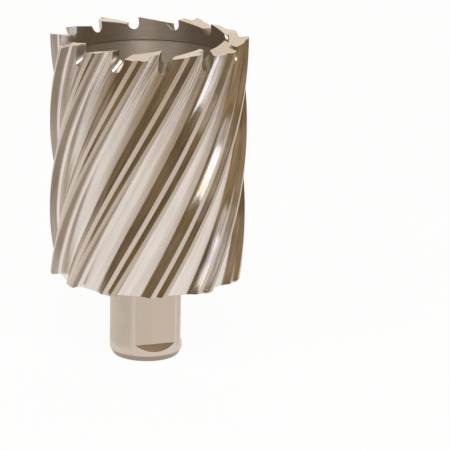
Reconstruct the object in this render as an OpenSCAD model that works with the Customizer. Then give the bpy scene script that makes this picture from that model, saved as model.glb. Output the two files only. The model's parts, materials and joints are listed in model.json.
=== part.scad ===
// Annular cutter: a hollow drilling cutter turned and ground from one bar of tool steel.
// Millimetres. The axis is Z, the shank end stands on z = 0 and the teeth point up.
// The two clamping flats face -Y and +X.

/* [Body] */
// diameter over the cutting edges
cut_d = 50.8; // [46:0.1:65]
// thickness of the wall at the teeth
wall_t = 5.1; // [4.6:0.1:6.5]
// height of the body from its underside to the highest tooth tips
body_h = 63.3; // [58:0.05:80]
// depth of the cup below the highest tooth tips
cup_depth = 51.6; // [35:0.1:56]
// chamfer round the underside of the body
body_chamfer = 0.4; // [0.2:0.1:1]

/* [Flutes] */
// number of flutes and teeth
teeth = 12; // [8:1:14]
// helix angle at the cutting diameter
helix_a = 29.4; // [15:0.1:35]
// width of the margin behind each cutting edge
margin_w = 1.26; // [0.6:0.02:1.8]
// width of the sloped step behind the margin
step_w = 1.28; // [0.8:0.02:1.6]
// width of the narrow land behind the step
land_w = 1.4; // [0.8:0.1:2]
// depth of the land below the cutting diameter
land_depth = 1.0; // [0.6:0.1:1.4]
// width of the sloped heel behind the land
heel_w = 2.7; // [1.8:0.1:3.2]
// depth of the foot of the heel below the cutting diameter
heel_depth = 2.4; // [1.7:0.1:2.5]
// width of the hollow between the heel and the flute floor
hollow_w = 2.6; // [1.5:0.1:3]
// depth of the flute floor below the cutting diameter
flute_depth = 2.7; // [2.6:0.1:3.2]
// radius at the foot of the cutting face
root_r = 0.9; // [0.3:0.1:1.2]
// direction of the first cutting edge at the underside of the body
first_edge_a = -6.5; // [-30:0.1:30]

/* [Teeth] */
// relief of the tooth tops, falling away behind the edge
relief_a = 10; // [6:0.5:15]
// fall of every second tooth top towards the outside
outward_fall_a = 9.5; // [4:0.5:12]
// fall of the tooth tops between those towards the bore
inward_fall_a = 4.5; // [0:0.5:8]
// drop of these teeth below the others, at the bore
inward_drop = 0.35; // [0:0.05:0.6]
// lead of the inner edge over the outer one, at the bore
inner_lead = 2.5; // [1.5:0.1:3]
// slant of the inner edge and the gullet to the radius
edge_slant_a = 18; // [8:1:25]
// radius of the gullet bottom
gullet_r = 1.6; // [1:0.1:1.9]
// depth of the gullet below the highest tips, at the bore
gullet_depth = 3.45; // [2.8:0.05:4.2]
// fall of the gullet floor towards the outside
gullet_fall_a = 40; // [25:1:45]
// hook of the inner cutting face
hook_a = 8; // [0:1:15]
// slope of the far side of the gullet
gullet_flare_a = 86; // [70:1:89]

/* [Bore] */
// height of the guiding band at the mouth of the bore
band_h = 6.0; // [4:0.1:10]
// radial clearance of the bore below that band
bore_relief = 0.3; // [0.1:0.05:0.6]
// radius round the floor of the cup
cup_fillet = 1.5; // [0.5:0.1:3]
// diameter of the pilot pin that slides in the shank
pin_d = 6.35; // [5:0.05:8]
// clearance round the pilot pin
pin_clear = 0.15; // [0.05:0.05:0.4]
// chamfer at both ends of the pin bore
pin_chamfer = 0.5; // [0.2:0.1:1]

/* [Shank] */
// diameter of the shank
shank_d = 19.05; // [16:0.05:25.4]
// length of the shank below the body
shank_h = 22.3; // [18:0.05:40]
// width of the chamfer at the end of the shank
end_chamfer_w = 0.8; // [0.4:0.1:2]
// height of that chamfer
end_chamfer_h = 1.6; // [0.8:0.1:2.2]
// depth of each clamping flat
flat_depth = 1.7; // [1:0.05:1.9]
// height at which the flats begin, above their sloped ends
flat_z = 4.4; // [4.2:0.1:8]

/* [Hidden] */
steel = [0.72, 0.67, 0.60];
far = 20;
bite = 0.5;
slices = 26;
cut_r = cut_d / 2;
bore_r = cut_r - wall_t;
floor_r = cut_r - flute_depth;
land_r = cut_r - land_depth;
heel_r = cut_r - heel_depth;
shank_r = shank_d / 2;
pin_bore_r = (pin_d + pin_clear) / 2;
top_z = shank_h + body_h;
cup_z = top_z - cup_depth;
pitch_a = 360 / teeth;
deg_mm = 180 / (PI * cut_r);
twist_a = body_h * tan(helix_a) * deg_mm;
top_edge_a = first_edge_a + twist_a;
flat_x = shank_r - flat_depth;
// angles of the section, measured backwards from a cutting edge
margin_end = margin_w * deg_mm;
step_end = margin_end + step_w * deg_mm;
land_end = step_end + land_w * deg_mm;
heel_end = land_end + heel_w * deg_mm;
hollow_end = heel_end + hollow_w * deg_mm;
root_start = pitch_a - root_r * deg_mm * cut_r / floor_r;
// reach of one tooth's top grind, a little short of the next tip
relief_len = 1.88 * bore_r * sin(pitch_a / 2);
tip_t = bore_r * sin(inner_lead * 180 / (PI * bore_r));

function polar(r, a) = [r * cos(a), r * sin(a)];
function hollow_r(u) = floor_r + (heel_r - floor_r) * (1 - u) * (1 - u);

// outline of one pitch, from its cutting edge back to the next cutting face
function tooth_outline(a) = concat(
    [for (u = [0, 0.5, 1]) polar(cut_r, a - u * margin_end)],
    [for (u = [0, 0.5, 1]) polar(land_r, a - step_end - u * (land_end - step_end))],
    [for (u = [0, 0.25, 0.5, 0.75, 1]) polar(hollow_r(u), a - heel_end - u * (hollow_end - heel_end))],
    [for (u = [30, 60, 90]) polar(floor_r + root_r * (1 - cos(u)),
        a - root_start - (pitch_a - root_start) * sin(u))]
);

// section across the flutes; the twist turns it anticlockwise on its way up
module flute_section() {
    polygon([for (i = [teeth - 1:-1:0]) each tooth_outline(first_edge_a + i * pitch_a)]);
}

module fluted_body() {
    translate([0, 0, shank_h])
        linear_extrude(height = body_h, twist = -twist_a, slices = slices)
            flute_section();
}

// space outside one clamping flat, with a 45 degree slope at its lower end
module flat_cut() {
    out = shank_r + bite;
    translate([0, far, 0])
        rotate([90, 0, 0])
            linear_extrude(height = 2 * far)
                polygon([[flat_x, flat_z], [out, flat_z + flat_x - out],
                    [out, shank_h + far], [flat_x, shank_h + far]]);
}

// side-lock shank: two flats a quarter turn apart, ending above a full round collar
module shank() {
    top = shank_h + 4;
    difference() {
        rotate_extrude($fn = 96)
            polygon([[0, 0], [shank_r - end_chamfer_w, 0], [shank_r, end_chamfer_h],
                [shank_r, top], [0, top]]);
        flat_cut();
        rotate([0, 0, -90])
            flat_cut();
    }
}

// cup with its guiding band, and the pin bore through the shank
module hollow() {
    wide_r = bore_r + bore_relief;
    band_z = top_z - band_h;
    rotate_extrude($fn = 128)
        polygon(concat(
            [[0, -1], [pin_bore_r + pin_chamfer + 1, -1], [pin_bore_r, pin_chamfer],
                [pin_bore_r, cup_z - pin_chamfer], [pin_bore_r + pin_chamfer, cup_z]],
            [for (a = [0:15:90]) [wide_r - cup_fillet * (1 - sin(a)), cup_z + cup_fillet * (1 - cos(a))]],
            [[wide_r, band_z - bore_relief], [bore_r, band_z], [bore_r, top_z + 1], [0, top_z + 1]]));
}

// ring outside the chamfered lower edge of the body
module lower_edge() {
    rotate_extrude($fn = 128)
        polygon([[cut_r - body_chamfer - bite, shank_h - bite], [cut_r + bite, shank_h - bite],
            [cut_r + bite, shank_h + body_chamfer + bite]]);
}

// block above one tooth top, on a plane through its inner edge
module tooth_relief(fall_a, drop) {
    translate([sqrt(bore_r * bore_r - tip_t * tip_t), tip_t, top_z - drop])
        rotate([relief_a, fall_a, 0])
            translate([-1.5, -relief_len, 0])
                cube([wall_t + 4, relief_len + bite, 5]);
}

// round-bottomed slot ahead of one inner edge, falling into the flute
module gullet() {
    foot = gullet_depth * cos(gullet_fall_a) - gullet_r;
    mid_y = tip_t + gullet_r / cos(hook_a) - foot * tan(hook_a);
    sweep = 90 + hook_a + gullet_flare_a;
    arc = [for (i = [0:12]) polar(gullet_r, 180 - hook_a + i * sweep / 12)];
    face_top = arc[0] + polar(8, 90 - hook_a);
    flare_top = arc[12] + polar(8, gullet_flare_a);
    translate([bore_r, mid_y, top_z - gullet_depth])
        rotate([0, gullet_fall_a, -edge_slant_a])
            translate([-4, 0, gullet_r])
                rotate([90, 0, 90])
                    linear_extrude(height = 18)
                        polygon(concat([face_top], arc, [flare_top]));
}

module annular_cutter() {
    color(steel)
        difference() {
            union() {
                fluted_body();
                shank();
            }
            hollow();
            lower_edge();
            for (i = [0:teeth - 1])
                rotate([0, 0, top_edge_a + i * pitch_a]) {
                    gullet();
                    if (i % 2 == 0)
                        tooth_relief(outward_fall_a, 0);
                    else
                        tooth_relief(-inward_fall_a, inward_drop);
                }
        }
}

annular_cutter();
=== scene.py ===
import json
from math import cos, degrees, pi, radians, sin, sqrt, tan

import bmesh
import bpy
from mathutils import Matrix, Vector


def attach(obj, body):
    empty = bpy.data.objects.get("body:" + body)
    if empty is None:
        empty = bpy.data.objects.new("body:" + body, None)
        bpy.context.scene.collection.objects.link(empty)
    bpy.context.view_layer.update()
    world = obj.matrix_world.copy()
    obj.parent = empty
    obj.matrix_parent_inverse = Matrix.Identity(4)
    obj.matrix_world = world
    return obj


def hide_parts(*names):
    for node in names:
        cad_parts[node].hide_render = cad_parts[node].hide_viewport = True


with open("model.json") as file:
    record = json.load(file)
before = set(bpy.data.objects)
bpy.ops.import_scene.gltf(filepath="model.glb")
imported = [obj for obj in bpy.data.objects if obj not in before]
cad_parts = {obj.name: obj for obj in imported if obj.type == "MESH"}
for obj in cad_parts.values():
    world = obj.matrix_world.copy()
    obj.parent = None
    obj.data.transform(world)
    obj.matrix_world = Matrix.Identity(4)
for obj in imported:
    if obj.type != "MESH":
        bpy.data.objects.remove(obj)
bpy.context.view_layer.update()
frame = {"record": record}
mm = 0.001
mounts = {mount["name"]: mount for mount in frame["record"]["mounts"]}
scene = bpy.context.scene
print("frame loaded")


# shader wiring

class Wire:  # one output socket, for use in sums and products
    def __init__(self, board, socket):
        self.board = board
        self.socket = socket

    def calc(self, operation, *values):
        return self.board.add("ShaderNodeMath", {"operation": operation}, values)

    def __add__(self, other):
        return self.calc("ADD", self, other)

    def __radd__(self, other):
        return self.calc("ADD", other, self)

    def __sub__(self, other):
        return self.calc("SUBTRACT", self, other)

    def __rsub__(self, other):
        return self.calc("SUBTRACT", other, self)

    def __mul__(self, other):
        return self.calc("MULTIPLY", self, other)

    def __rmul__(self, other):
        return self.calc("MULTIPLY", other, self)

    def __abs__(self):
        return self.calc("ABSOLUTE", self)

    def larger(self, other):
        return self.calc("MAXIMUM", self, other)


class Board:  # one node tree, filled from empty
    def __init__(self, tree):
        self.tree = tree
        self.tree.nodes.clear()

    def add(self, kind, settings=None, sockets=None, out=0):
        node = self.tree.nodes.new(kind)
        for key, value in (settings or {}).items():
            setattr(node, key, value)
        pairs = sockets.items() if isinstance(sockets, dict) else enumerate(sockets or ())
        for key, value in pairs:
            if isinstance(value, Wire):
                self.tree.links.new(value.socket, node.inputs[key])
            else:
                node.inputs[key].default_value = value
        return Wire(self, node.outputs[out])

    def mixColour(self, factor, first, second):
        # a Mix node keeps its colours in sockets 6 and 7, and gives them out at 2
        return self.add("ShaderNodeMix", {"data_type": "RGBA"}, {0: factor, 6: first, 7: second}, out=2)

    def span(self, value, low, high, toLow=0.0, toHigh=1.0):
        return self.add("ShaderNodeMapRange", {"interpolation_type": "SMOOTHSTEP"},
                        [value, low, high, toLow, toHigh])

    def finishWith(self, shader, target="ShaderNodeOutputMaterial"):
        output = self.tree.nodes.new(target)
        self.tree.links.new(shader.socket, output.inputs["Surface"])


def newFinish(name):
    material = bpy.data.materials.new(name)
    material.use_nodes = True
    return material, Board(material.node_tree)


# the cutter's own sizes; the frame gives the rest

cutter = {
    "teeth": 12,
    "diameter": 50.8 * mm,
    "height": 63.3 * mm,
    "wall": 5.1 * mm,
    "helixAngle": 29.4,  # degrees, at the cutting diameter
    "marginWidth": 1.26 * mm,
    "edgeBreak": 0.25 * mm,  # width of the worn corner behind the margin
    "edgeFall": 0.32,  # its depth, as a share of its width
    "stepWidth": 1.28 * mm,
    "landWidth": 1.4 * mm,
    "landDepth": 1.0 * mm,
    "heelWidth": 2.7 * mm,
    "heelDepth": 2.4 * mm,
    "heelHollow": 0.2,  # how much the heel is hollowed; 0 leaves it flat
    "heelRunOut": 4,  # higher keeps the run-out nearer the foot of the heel
    "hollowWidth": 2.6 * mm,
    "hollowCurve": 1.3,  # how gently the hollow runs into the floor of the flute
    "fluteDepth": 2.7 * mm,
    "rootRadius": 0.9 * mm,
    "firstEdge": -6.5,  # degrees, at the underside of the body
    "chamfer": 0.4 * mm,
    "slices": 64,
    "steps": {"margin": 4, "land": 3, "heel": 8, "hollow": 8, "floor": 5, "root": 6, "face": 2},
    "sharpAngle": 16,  # degrees; edges above it stay crisp
}
toothGrind = {
    "relief": 10,  # degrees
    "reliefReach": 1.88,  # 2 would reach the next tip
    "reliefInside": 1.5 * mm,  # how far each cut starts inside the bore
    "reliefPast": 4 * mm,  # how much longer than the wall it is
    "reliefAhead": 0.5 * mm,
    "reliefHeight": 5 * mm,
    "outwardFall": 9.5,  # degrees, every second tooth
    "inwardFall": 4.5,  # degrees, the teeth between
    "inwardDrop": 0.35 * mm,
    "innerLead": 2.5 * mm,
    "edgeSlant": 18,  # degrees
    "gulletRadius": 1.6 * mm,
    "gulletDepth": 3.45 * mm,
    "gulletFall": 40,  # degrees
    "gulletInside": 4 * mm,
    "gulletLength": 18 * mm,
    "gulletHeight": 8 * mm,
    "gulletSteps": 20,
    "hook": 8,  # degrees
    "flare": 86,  # degrees
}
cup = {
    "depth": 51.6 * mm,
    "bandHeight": 6.0 * mm,
    "relief": 0.3 * mm,
    "fillet": 1.5 * mm,
    "filletSteps": 8,
    "pinChamfer": 0.5 * mm,
    "past": 1 * mm,  # how far the cut runs out at both ends
    "rounds": 192,
}
shank = {
    "diameter": 19.05 * mm,
    "chamferWidth": 0.8 * mm,
    "chamferHeight": 1.6 * mm,
    "flatStart": 4.4 * mm,
    "flatReach": 20 * mm,  # how far the cuts for the flats run out
    "overlap": 4 * mm,  # length inside the body
    "rounds": 144,
}

shoulderZ = mounts["shoulder"]["pos_m"][2]
pinBoreR = mounts["pilot_bore"]["dims"]["r_mm"] * mm
flatOff = -mounts["flat_front"]["pos_m"][1]
topZ = shoulderZ + cutter["height"]
cutR = cutter["diameter"] / 2
shankR = shank["diameter"] / 2
boreR = cutR - cutter["wall"]
floorR = cutR - cutter["fluteDepth"]
landR = cutR - cutter["landDepth"]
heelR = cutR - cutter["heelDepth"]
bandZ = topZ - cup["bandHeight"]
pitch = 360 / cutter["teeth"]
degPerLength = degrees(1 / cutR)
twistPerLength = tan(radians(cutter["helixAngle"])) / cutR  # radians a metre
topEdge = cutter["firstEdge"] + degrees(twistPerLength * (topZ - shoulderZ))


# finishes; lines, broad and patches are each a stretch, scale, detail and roughness of noise

noiseMiddle = 0.5


def steelPlace(board):
    return board.add("ShaderNodeTexCoord", out="Object")


def axisOf(board, place, axis):
    return board.add("ShaderNodeSeparateXYZ", sockets=[place], out=axis)


def unwound(board, place):
    # turned back with height, so that the flutes stand upright
    turn = axisOf(board, place, "Z") * -twistPerLength
    return board.add("ShaderNodeVectorRotate", {"rotation_type": "Z_AXIS"},
                     {"Vector": place, "Angle": turn})


def grain(board, place, stretch, scale, detail, rough):
    spread = board.add("ShaderNodeVectorMath", {"operation": "MULTIPLY"}, [place, stretch])
    return board.add("ShaderNodeTexNoise", None,
                     {"Vector": spread, "Scale": scale, "Detail": detail, "Roughness": rough})


def toned(board, look, mask):
    return board.mixColour(board.span(mask, *look["contrast"]), look["dark"], look["light"])


def shared(look, lines, broad):
    return lines * look["lineShare"] + broad * (1 - look["lineShare"])


def metal(board, look, colour, lines, uneven=None, extra=None):
    # the lines give the relief, and also sway the roughness where nothing else does
    sway = (lines if uneven is None else uneven) - noiseMiddle
    relief = board.add("ShaderNodeBump", None,
                       {"Height": lines, "Distance": look["lineDepth"], "Strength": 1.0})
    sockets = {"Base Color": colour, "Roughness": look["roughness"] + look["swing"] * sway,
               "Metallic": 1.0, "Normal": relief}
    sockets.update(extra or {})
    board.finishWith(board.add("ShaderNodeBsdfPrincipled", None, sockets))


fluteLook = {
    "light": (0.89, 0.805, 0.74, 1),
    "dark": (0.68, 0.605, 0.545, 1),
    "contrast": (0.3, 0.7),
    "streak": (0.31, 0.275, 0.245, 1),  # darker streaks along the grinding lines, with painted shade growing towards the teeth
    "streakReach": 34 * mm,
    "streakContrast": (0.45, 0.65),
    "lines": ((1, 1, 0.02), 3200, 5, 0.65),
    "broad": ((1, 1, 0.12), 420, 3, 0.5),
    "lineShare": 0.6,
    "roughness": 0.24,
    "swing": 0.14,
    "lineDepth": 0.018 * mm,
}


def fluteFinish():
    material, board = newFinish("fluteGround")
    place = steelPlace(board)
    along = unwound(board, place)
    lines = grain(board, along, *fluteLook["lines"])
    broad = grain(board, along, *fluteLook["broad"])
    ground = toned(board, fluteLook, shared(fluteLook, lines, broad))
    # painted shade: the streaks darken the flutes more towards the top
    high = board.span(axisOf(board, place, "Z"), topZ - fluteLook["streakReach"], topZ)
    shadedStreaks = high * board.span(lines, *fluteLook["streakContrast"])
    metal(board, fluteLook, board.mixColour(shadedStreaks, ground, fluteLook["streak"]), lines)
    return material


slopeLook = {
    "light": (0.76, 0.66, 0.585, 1),
    "dark": (0.37, 0.32, 0.285, 1),
    "contrast": (0.34, 0.66),
    "tint": (0.60, 0.49, 0.28, 1),
    "tintContrast": (0.48, 0.66),
    "tintMost": 0.7,
    "lines": ((1, 1, 0.03), 2600, 4, 0.6),
    "broad": ((1, 1, 0.3), 260, 3, 0.5),
    "patches": ((1, 1, 0.4), 170, 6, 0.75),
    "lineShare": 0.4,
    "roughness": 0.15,
    "swing": 0.10,
    "lineDepth": 0.003 * mm,
}


def slopeFinish():
    material, board = newFinish("slopeGround")
    along = unwound(board, steelPlace(board))
    lines = grain(board, along, *slopeLook["lines"])
    broad = grain(board, along, *slopeLook["broad"])
    patches = grain(board, along, *slopeLook["patches"])
    ground = toned(board, slopeLook, shared(slopeLook, lines, broad))
    tinted = board.span(patches, *slopeLook["tintContrast"], 0.0, slopeLook["tintMost"])
    metal(board, slopeLook, board.mixColour(tinted, ground, slopeLook["tint"]), lines, uneven=broad)
    return material


marginLook = {
    "light": (0.61, 0.515, 0.425, 1),
    "dark": (0.49, 0.405, 0.33, 1),
    "contrast": (0.3, 0.7),
    "alongFlutes": True,
    "lines": ((1, 1, 0.03), 2400, 3, 0.5),
    "roughness": 0.24,
    "swing": 0.12,
    "lineDepth": 0.003 * mm,
}
landLook = {
    "light": (0.69, 0.585, 0.495, 1),
    "dark": (0.56, 0.47, 0.39, 1),
    "contrast": (0.3, 0.7),
    "alongFlutes": True,
    "lines": ((1, 1, 0.03), 2400, 3, 0.5),
    "roughness": 0.24,
    "swing": 0.12,
    "lineDepth": 0.003 * mm,
}
faceLook = {
    "light": (0.50, 0.43, 0.355, 1),
    "dark": (0.38, 0.325, 0.265, 1),
    "contrast": (0.3, 0.7),
    "alongFlutes": True,
    "lines": ((1, 1, 0.03), 2600, 4, 0.6),
    "roughness": 0.36,
    "swing": 0.1,
    "lineDepth": 0.006 * mm,
}
toothLook = {
    "light": (0.70, 0.61, 0.52, 1),
    "dark": (0.56, 0.48, 0.405, 1),
    "contrast": (0.3, 0.7),
    "alongFlutes": False,
    "lines": ((1, 0.2, 1), 5200, 4, 0.6),
    "roughness": 0.34,
    "swing": 0.14,
    "lineDepth": 0.003 * mm,
}
gulletLook = {
    "light": (0.63, 0.585, 0.55, 1),
    "dark": (0.48, 0.435, 0.40, 1),
    "contrast": (0.3, 0.7),
    "alongFlutes": False,
    "lines": ((1, 1, 1), 900, 4, 0.6),
    "roughness": 0.30,
    "swing": 0.12,
    "lineDepth": 0.002 * mm,
}


def groundFinish(name, look):
    material, board = newFinish(name)
    place = steelPlace(board)
    if look["alongFlutes"]:
        place = unwound(board, place)
    lines = grain(board, place, *look["lines"])
    metal(board, look, toned(board, look, lines), lines)
    return material


boreLook = {
    "band": (0.41, 0.345, 0.295, 1),
    "deep": (0.62, 0.535, 0.46, 1),
    "bandBlur": 0.2 * mm,
    "shade": (0.20, 0.17, 0.14, 1),  # in the turned lines
    "shadeContrast": (0.25, 0.75),
    "shadeMost": 0.35,
    "lines": ((0.04, 0.04, 1), 4200, 5, 0.65),
    "roughness": 0.5,
    "swing": 0.15,
    "metallic": 0.8,
    "spread": 0.85,  # reflections drawn out across the turned lines
    "spreadTurn": 0.25,
    "lineDepth": 0.010 * mm,
}


def boreFinish():
    material, board = newFinish("boreTurned")
    place = steelPlace(board)
    lines = grain(board, place, *boreLook["lines"])
    high = board.span(axisOf(board, place, "Z"), bandZ - boreLook["bandBlur"], bandZ)
    base = board.mixColour(high, boreLook["deep"], boreLook["band"])
    shade = board.span(lines, *boreLook["shadeContrast"], 0.0, boreLook["shadeMost"])
    colour = board.mixColour(shade, base, boreLook["shade"])
    metal(board, boreLook, colour, lines,
          extra={"Metallic": boreLook["metallic"], "Anisotropic": boreLook["spread"],
                 "Anisotropic Rotation": boreLook["spreadTurn"]})
    return material


shankLook = {
    "light": (0.59, 0.50, 0.415, 1),
    "dark": (0.51, 0.43, 0.355, 1),
    "contrast": (0.3, 0.7),
    "rubbed": (0.72, 0.615, 0.54, 1),  # painted highlight on the round beside and below the flats
    "rubWidth": 1.4 * mm,
    "rubFacing": 0.5,  # share of the radius over which the painted highlight comes in towards a flat
    "rubSteady": 0.6,  # the rest of the painted highlight is uneven
    "collarFade": (0.6, 0.95),  # as shares of the height at which the flats start
    "collarMost": 0.8,
    # painted shade on the end chamfer, standing in for the floor's shadow seen in it
    "end": (0.36, 0.28, 0.215, 1),
    "endFade": (0.85, 1.05),  # painted shade, fading out at these shares of the height of the chamfer
    "lines": ((0.05, 0.05, 1), 5200, 5, 0.6),
    "broad": ((1, 1, 1), 220, 3, 0.5),
    "lineShare": 0.5,
    "roughness": 0.33,
    "swing": 0.14,
    "lineDepth": 0.006 * mm,
}


def sheenBeside(board, across, facing):
    edge = sqrt(shankR ** 2 - flatOff ** 2)
    near = board.span(abs(across), edge, edge + shankLook["rubWidth"], 1.0, 0.0)
    return near * board.span(facing, 0.0, shankLook["rubFacing"] * shankR)


def shankFinish():
    material, board = newFinish("shankGround")
    place = steelPlace(board)
    x, y, z = (axisOf(board, place, axis) for axis in "XYZ")
    lines = grain(board, place, *shankLook["lines"])
    broad = grain(board, place, *shankLook["broad"])
    ground = toned(board, shankLook, shared(shankLook, lines, broad))
    beside = sheenBeside(board, x, y * -1.0).larger(sheenBeside(board, y, x))
    fade = [share * shank["flatStart"] for share in shankLook["collarFade"]]
    collarSheen = board.span(z, *fade, shankLook["collarMost"], 0.0)
    steady = shankLook["rubSteady"]
    # painted highlight: the round is lighter beside the flats' edges and on the collar below them
    sheen = beside.larger(collarSheen) * (steady + (1 - steady) * broad)
    wornAndSheen = board.mixColour(sheen, ground, shankLook["rubbed"])
    # painted shade: the chamfer is darkened below this height
    low, high = (share * shank["chamferHeight"] for share in shankLook["endFade"])
    metal(board, shankLook, board.mixColour(board.span(z, low, high), shankLook["end"], wornAndSheen), lines)
    return material


flatLook = {
    "light": (0.60, 0.50, 0.408, 1),
    "dark": (0.575, 0.478, 0.39, 1),
    "contrast": (0.3, 0.7),
    # painted shade on the ledge where the flats run out
    "ledge": (0.42, 0.34, 0.24, 1),
    "ledgeFade": 0.98,  # painted shade fades out at this share of the height at which the flats start
    "lines": ((1, 1, 0.2), 300, 2, 0.5),
    "roughness": 0.28,
    "swing": 0.04,
    "lineDepth": 0.0005 * mm,
}


def flatFinish():
    material, board = newFinish("flatMilled")
    place = steelPlace(board)
    lines = grain(board, place, *flatLook["lines"])
    start = shank["flatStart"]
    # painted shade: the ledge below the flats is darkened
    above = board.span(axisOf(board, place, "Z"), flatLook["ledgeFade"] * start, start)
    milled = toned(board, flatLook, lines)
    metal(board, flatLook, board.mixColour(above, flatLook["ledge"], milled), lines)
    return material


finishes = {
    "flute": fluteFinish(),
    "slope": slopeFinish(),
    "margin": groundFinish("marginGround", marginLook),
    "land": groundFinish("landGround", landLook),
    "face": groundFinish("cuttingFace", faceLook),
    "tooth": groundFinish("toothGround", toothLook),
    "gullet": groundFinish("gulletGround", gulletLook),
    "flat": flatFinish(),
    "bore": boreFinish(),
    "shank": shankFinish(),
}
print("finishes made:", ", ".join(finishes))


# the steel itself

def polar(radius, angle):
    return Vector((radius * cos(radians(angle)), radius * sin(radians(angle)), 0))


def steps(count):
    return [(i + 1) / count for i in range(count)]


def pitchOutline():
    # one pitch going backwards from a cutting edge:
    # radius, degrees back, and finish of the stretch that ends here
    fine = cutter["steps"]
    marginEnd = cutter["marginWidth"] * degPerLength
    stepEnd = marginEnd + cutter["stepWidth"] * degPerLength
    landEnd = stepEnd + cutter["landWidth"] * degPerLength
    heelEnd = landEnd + cutter["heelWidth"] * degPerLength
    hollowEnd = heelEnd + cutter["hollowWidth"] * degPerLength
    rootStart = pitch - cutter["rootRadius"] * degrees(1 / floorR)
    rootTop = floorR + cutter["rootRadius"]
    wornAndSheen = cutter["edgeBreak"] / 2 * degPerLength
    wornR = cutR - cutter["edgeFall"] * cutter["edgeBreak"]
    sunk, runOut = cutter["heelHollow"], cutter["heelRunOut"]
    points = [(cutR, u * (marginEnd - wornAndSheen), "margin") for u in steps(fine["margin"])]
    points += [(wornR, marginEnd + wornAndSheen, "slope"), (landR, stepEnd, "slope")]
    points += [(landR, stepEnd + u * (landEnd - stepEnd), "land") for u in steps(fine["land"])]
    points += [(landR + ((1 + sunk) * u - sunk * u ** runOut) * (heelR - landR),
                landEnd + u * (heelEnd - landEnd), "slope") for u in steps(fine["heel"])]
    points += [(floorR + (heelR - floorR) * (1 - u) ** cutter["hollowCurve"],
                heelEnd + u * (hollowEnd - heelEnd), "flute") for u in steps(fine["hollow"])]
    points += [(floorR, hollowEnd + u * (rootStart - hollowEnd), "flute") for u in steps(fine["floor"])]
    points += [(floorR + cutter["rootRadius"] * (1 - cos(u * pi / 2)),
                rootStart + (pitch - rootStart) * sin(u * pi / 2), "flute")
               for u in steps(fine["root"])]
    points += [(rootTop + u * (cutR - rootTop), pitch, "face") for u in steps(fine["face"])]
    return points


def newObject(name, build, finishNames):
    # build fills a bmesh; faces keep the finish numbers that it sets
    mesh = bpy.data.meshes.new(name)
    work = bmesh.new()
    build(work)
    bmesh.ops.recalc_face_normals(work, faces=work.faces)
    work.to_mesh(mesh)
    work.free()
    for key in finishNames:
        mesh.materials.append(finishes[key])
    made = bpy.data.objects.new(name, mesh)
    scene.collection.objects.link(made)
    return made


bodyFinishes = ["flute", "slope", "margin", "land", "face", "shank"]


def buildFlutedBody(work):
    outline = []
    for tooth in range(cutter["teeth"]):
        edge = cutter["firstEdge"] - tooth * pitch
        outline += [(r, edge - back, finish) for r, back, finish in pitchOutline()]
    height = topZ - shoulderZ
    chamfer = cutter["chamfer"]
    levels = [0, chamfer / 2, chamfer]
    levels += [chamfer + (height - chamfer) * u for u in steps(cutter["slices"])]
    rings = []
    for level in levels:
        reach = cutR - max(chamfer - level, 0)
        turn = degrees(twistPerLength * level)
        ring = []
        for r, angle, finish in outline:
            spot = polar(min(r, reach), angle + turn)
            ring.append(work.verts.new((spot.x, spot.y, shoulderZ + level)))
        rings.append(ring)
    for low, high in zip(rings, rings[1:]):
        for i, (r, angle, finish) in enumerate(outline):
            face = work.faces.new((low[i - 1], low[i], high[i], high[i - 1]))
            face.material_index = bodyFinishes.index(finish)
    for ring in (rings[0], rings[-1]):
        face = work.faces.new(ring)
        face.material_index = bodyFinishes.index("shank")


def turned(profile, rounds):
    # closed solid of revolution; the profile runs from axis to axis
    def build(work):
        turns = [360 * i / rounds for i in range(rounds)]
        rings = []
        for r, z in profile:
            if r == 0:
                rings.append([work.verts.new((0, 0, z))])
            else:
                rings.append([work.verts.new((*polar(r, turn).xy, z)) for turn in turns])
        for low, high in zip(rings, rings[1:]):
            for i in range(rounds):
                corners = [low[i % len(low)], low[(i + 1) % len(low)],
                           high[(i + 1) % len(high)], high[i % len(high)]]
                work.faces.new(list(dict.fromkeys(corners)))
    return build


def prism(outline, length, placements):
    # outline in local Y and Z, pulled along local X, once for each placement
    def build(work):
        for placement in placements:
            near, far = ([work.verts.new(placement @ Vector((x, y, z))) for y, z in outline]
                         for x in (0, length))
            work.faces.new(near)
            work.faces.new(far)
            for i in range(len(outline)):
                work.faces.new((near[i - 1], near[i], far[i], far[i - 1]))
    return build


def turnAbout(axis, angle):
    return Matrix.Rotation(radians(angle), 4, axis)


def toothPlaces(first):
    # every second tooth, from the first one named
    return [turnAbout("Z", topEdge + i * pitch) for i in range(first, cutter["teeth"], 2)]


tipAhead = boreR * sin(toothGrind["innerLead"] / boreR)


def gulletPlaces(first):
    grind = toothGrind
    fall, hook = radians(grind["gulletFall"]), radians(grind["hook"])
    foot = grind["gulletDepth"] * cos(fall) - grind["gulletRadius"]
    middle = tipAhead + grind["gulletRadius"] / cos(hook) - foot * tan(hook)
    spot = Matrix.Translation((boreR, middle, topZ - grind["gulletDepth"]))
    lean = turnAbout("Z", -grind["edgeSlant"]) @ turnAbout("Y", grind["gulletFall"])
    start = Matrix.Translation((-grind["gulletInside"], 0, grind["gulletRadius"]))
    return [place @ spot @ lean @ start for place in toothPlaces(first)]


def gulletOutline():
    # round bottom between the hooked face and the flared side
    radius, reach, count = (toothGrind[key] for key in ("gulletRadius", "gulletHeight", "gulletSteps"))
    hook, flare = radians(toothGrind["hook"]), radians(toothGrind["flare"])
    first, last = pi - hook, 2 * pi - (pi / 2 - flare)
    arc = [first + (last - first) * i / count for i in range(count + 1)]
    points = [(radius * cos(a), radius * sin(a)) for a in arc]
    points.append((points[-1][0] + reach * cos(flare), points[-1][1] + reach * sin(flare)))
    points.insert(0, (points[0][0] + reach * sin(hook), points[0][1] + reach * cos(hook)))
    return points


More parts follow.
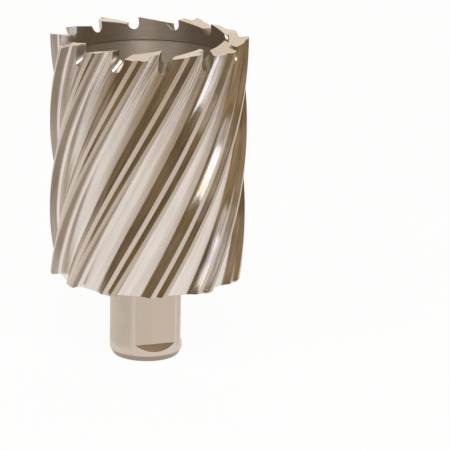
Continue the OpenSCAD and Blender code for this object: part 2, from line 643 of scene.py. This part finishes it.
def reliefOutline():
    back = -toothGrind["reliefReach"] * boreR * sin(radians(pitch / 2))
    ahead, height = toothGrind["reliefAhead"], toothGrind["reliefHeight"]
    return [(back, 0), (ahead, 0), (ahead, height), (back, height)]


def reliefPlaces(first, fall, drop):
    tip = Matrix.Translation((sqrt(boreR ** 2 - tipAhead ** 2), tipAhead, topZ - drop))
    lean = turnAbout("Y", fall) @ turnAbout("X", toothGrind["relief"])
    start = Matrix.Translation((-toothGrind["reliefInside"], 0, 0))
    return [place @ tip @ lean @ start for place in toothPlaces(first)]


def hollowProfile():
    wide = boreR + cup["relief"]
    cupZ = topZ - cup["depth"]
    chamfer, fillet, past = cup["pinChamfer"], cup["fillet"], cup["past"]
    profile = [(0, -past), (pinBoreR + chamfer + past, -past), (pinBoreR, chamfer),
               (pinBoreR, cupZ - chamfer), (pinBoreR + chamfer, cupZ), (wide - fillet, cupZ)]
    for u in steps(cup["filletSteps"]):
        a = u * pi / 2
        profile.append((wide - fillet * (1 - sin(a)), cupZ + fillet * (1 - cos(a))))
    profile += [(wide, bandZ - cup["relief"]), (boreR, bandZ), (boreR, topZ + past), (0, topZ + past)]
    return profile


def join(first, second, operation):
    cut = first.modifiers.new(operation, "BOOLEAN")
    cut.operation = operation
    cut.object = second
    cut.solver = "EXACT"
    cut.material_mode = "TRANSFER"
    graph = bpy.context.evaluated_depsgraph_get()
    result = bpy.data.meshes.new_from_object(first.evaluated_get(graph))
    first.modifiers.clear()
    old = first.data
    first.data = result
    bpy.data.meshes.remove(old)
    bpy.data.objects.remove(second)


def makeShankBar():
    top, far, start = shoulderZ + shank["overlap"], shank["flatReach"], shank["flatStart"]
    profile = [(0, 0), (shankR - shank["chamferWidth"], 0), (shankR, shank["chamferHeight"]),
               (shankR, top), (0, top)]
    bar = newObject("shankBar", turned(profile, shank["rounds"]), ["shank"])
    side = [(-flatOff, start), (-flatOff, 2 * far), (-far, 2 * far), (-far, start + flatOff - far)]
    for name, turn in (("frontFlat", 0), ("sideFlat", 90)):
        place = turnAbout("Z", turn) @ Matrix.Translation((-far, 0, 0))
        join(bar, newObject(name, prism(side, 2 * far, [place]), ["flat"]), "DIFFERENCE")
    return bar


def grindTeeth(steel):
    falls = [(toothGrind["outwardFall"], 0), (-toothGrind["inwardFall"], toothGrind["inwardDrop"])]
    topLength = cutter["wall"] + toothGrind["reliefPast"]
    for first, (fall, drop) in enumerate(falls):
        slots = prism(gulletOutline(), toothGrind["gulletLength"], gulletPlaces(first))
        join(steel, newObject("gullets", slots, ["gullet"]), "DIFFERENCE")
        tops = prism(reliefOutline(), topLength, reliefPlaces(first, fall, drop))
        join(steel, newObject("reliefs", tops, ["tooth"]), "DIFFERENCE")


def makeCutter():
    steel = newObject("annularCutter", buildFlutedBody, bodyFinishes)
    join(steel, makeShankBar(), "UNION")
    print("body and shank joined")
    join(steel, newObject("hollow", turned(hollowProfile(), cup["rounds"]), ["bore"]), "DIFFERENCE")
    grindTeeth(steel)
    mesh = steel.data
    mesh.polygons.foreach_set("use_smooth", [True] * len(mesh.polygons))
    mesh.set_sharp_from_angle(angle=radians(cutter["sharpAngle"]))
    print("teeth ground:", len(mesh.polygons), "faces")
    return steel


annularCutter = makeCutter()
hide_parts("annular_cutter")
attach(annularCutter, "root")
print("cutter in place")


# studio; azimuths count from the view, to its right

studio = {
    "floorSize": 6.0,
    "floorTone": (0.9, 0.9, 0.9, 1),
    "paperWhite": 0.95,  # share of the paper that the eye sees plain white; the rest holds the shadow
    "worldTone": (1.0, 0.76, 0.44, 1),
    "worldLevel": 0.25,
    "tableTone": (0.42, 0.34, 0.23, 1),
    "tableLift": 1 * mm,
    "tableReach": 3.0,
    "paperEdge": [(-140, 0.9), (-110, 0.5), (-70, 0.42), (-30, 0.41), (-14, 0.37), (0, 0.34),
                  (20, 0.34), (32, 0.39), (45, 0.42), (70, 0.40), (100, 0.36), (140, 0.36),
                  (160, 0.5)],  # azimuth and distance
}
lampHeight = 50 * mm  # all lamps face this point of the axis
lamps = {
    "backBox": {"azimuth": 173, "elevation": 25, "distance": 1.5, "size": (2.6, 1.7), "power": 12.5,
                "tone": (0.98, 1.0, 0.98)},
    "rightBox": {"azimuth": 18, "elevation": 16.1, "distance": 2.8, "size": (1.54, 0.225), "power": 3.6,
                 "tone": (0.72, 0.80, 0.95)},  # bright reflections on the heels
    "stepBox": {"azimuth": -2, "elevation": 24.5, "distance": 1.2, "size": (0.46, 0.15), "power": 0.07,
                "tone": (1.0, 0.95, 0.92)},
    "sideBox": {"azimuth": 78, "elevation": 9, "distance": 1.2, "size": (0.8, 0.6), "power": 0.26,
                "tone": (1.0, 0.82, 0.64)},
    "fadeBox": {"azimuth": 43, "elevation": 13.5, "distance": 1.2, "size": (0.3, 0.14), "power": 0.09,
                "tone": (0.85, 0.9, 1.0)},  # softens the upper end of the heels' reflections
    "leftBox": {"azimuth": -38, "elevation": 46, "distance": 1.2, "size": (0.6, 0.4), "power": 3.2,
                "tone": (1.0, 1.0, 1.0)},  # this one and the next two light the gullets
    "frontBox": {"azimuth": 10, "elevation": 52, "distance": 1.3, "size": (0.55, 0.42), "power": 8,
                 "tone": (1.0, 0.97, 0.95)},
    "lowBox": {"azimuth": 48, "elevation": 33, "distance": 1.2, "size": (0.4, 0.3), "power": 0.4,
               "tone": (1.0, 0.95, 0.9)},
}
viewFit = {
    "azimuth": -17.6,  # degrees, from the front flat
    "distance": 659.92 * mm,
    "height": 227.25 * mm,
    "yaw": 1.7611,  # degrees, as are the next two
    "pitch": 16.2478,
    "roll": 1.2419,
    "focalPixels": 2632.6,
    "framePixels": 450,
    "sensorWidth": 36,
    "clip": (0.01, 50),
}


def stageObject(name, verts, faces, material):
    mesh = bpy.data.meshes.new(name)
    mesh.from_pydata(verts, [], faces)
    mesh.materials.append(material)
    made = bpy.data.objects.new(name, mesh)
    scene.collection.objects.link(made)
    return made


def makeFloor():
    material, board = newFinish("palePaper")
    camera, glossy, through = (board.add("ShaderNodeLightPath", out=ray)
                               for ray in ("Is Camera Ray", "Is Glossy Ray", "Is Transmission Ray"))
    seen = camera.larger(glossy).larger(through)
    paper = board.add("ShaderNodeBsdfDiffuse", None, {"Color": studio["floorTone"]})
    glow = board.add("ShaderNodeEmission", None, {"Color": (1, 1, 1, 1), "Strength": 1.0})
    board.finishWith(board.add("ShaderNodeMixShader", None, [seen * studio["paperWhite"], paper, glow]))
    half = studio["floorSize"] / 2
    corners = [(-half, -half, 0), (half, -half, 0), (half, half, 0), (-half, half, 0)]
    floor = stageObject("floor", corners, [(0, 1, 2, 3)], material)


def makeTable():
    # dim table top beyond the paper's edge, seen in reflections only
    material, board = newFinish("table")
    board.finishWith(board.add("ShaderNodeBsdfDiffuse", None, {"Color": studio["tableTone"]}))
    verts = []
    for turn, edge in studio["paperEdge"]:
        a = radians(viewFit["azimuth"] + turn)
        verts += [(r * sin(a), -r * cos(a), studio["tableLift"]) for r in (edge, studio["tableReach"])]
    faces = [(i, i + 1, i + 3, i + 2) for i in range(0, len(verts) - 2, 2)]
    table = stageObject("table", verts, faces, material)
    table.visible_camera = False
    table.visible_shadow = False


def makeWorld():
    world = bpy.data.worlds.new("studio")
    scene.world = world
    world.use_nodes = True
    board = Board(world.node_tree)
    light = board.add("ShaderNodeBackground", None,
                      {"Color": studio["worldTone"], "Strength": studio["worldLevel"]})
    board.finishWith(light, "ShaderNodeOutputWorld")


def makeLamp(name, look):
    data = bpy.data.lights.new(name, "AREA")
    data.shape = "RECTANGLE"
    data.size, data.size_y = look["size"]
    data.energy = look["power"]
    data.color = look["tone"]
    lamp = bpy.data.objects.new(name, data)
    a, e = radians(look["azimuth"] + viewFit["azimuth"]), radians(look["elevation"])
    away = Vector((sin(a) * cos(e), -cos(a) * cos(e), sin(e)))
    lamp.location = Vector((0, 0, lampHeight)) + away * look["distance"]
    lamp.rotation_euler = away.to_track_quat("Z", "Y").to_euler()
    scene.collection.objects.link(lamp)


def makeCamera():
    data = bpy.data.cameras.new("camera")
    camera = bpy.data.objects.new("camera", data)
    scene.collection.objects.link(camera)
    data.sensor_width = viewFit["sensorWidth"]
    data.lens = data.sensor_width * viewFit["focalPixels"] / viewFit["framePixels"]
    data.clip_start, data.clip_end = viewFit["clip"]
    yaw, pitchDown, roll = (radians(viewFit[key]) for key in ("yaw", "pitch", "roll"))
    ahead = Vector((sin(yaw) * cos(pitchDown), cos(yaw) * cos(pitchDown), -sin(pitchDown)))
    right = Vector((cos(yaw), -sin(yaw), 0))
    up = right.cross(ahead)
    across = cos(roll) * right + sin(roll) * up
    above = -sin(roll) * right + cos(roll) * up
    pose = Matrix((across, above, -ahead)).transposed().to_4x4()
    pose.translation = Vector((0, -viewFit["distance"], viewFit["height"]))
    camera.matrix_world = turnAbout("Z", viewFit["azimuth"]) @ pose
    scene.camera = camera


makeFloor()
makeWorld()
makeTable()
for name, look in lamps.items():
    makeLamp(name, look)
makeCamera()
scene.view_settings.view_transform = "Standard"
print("studio lit")
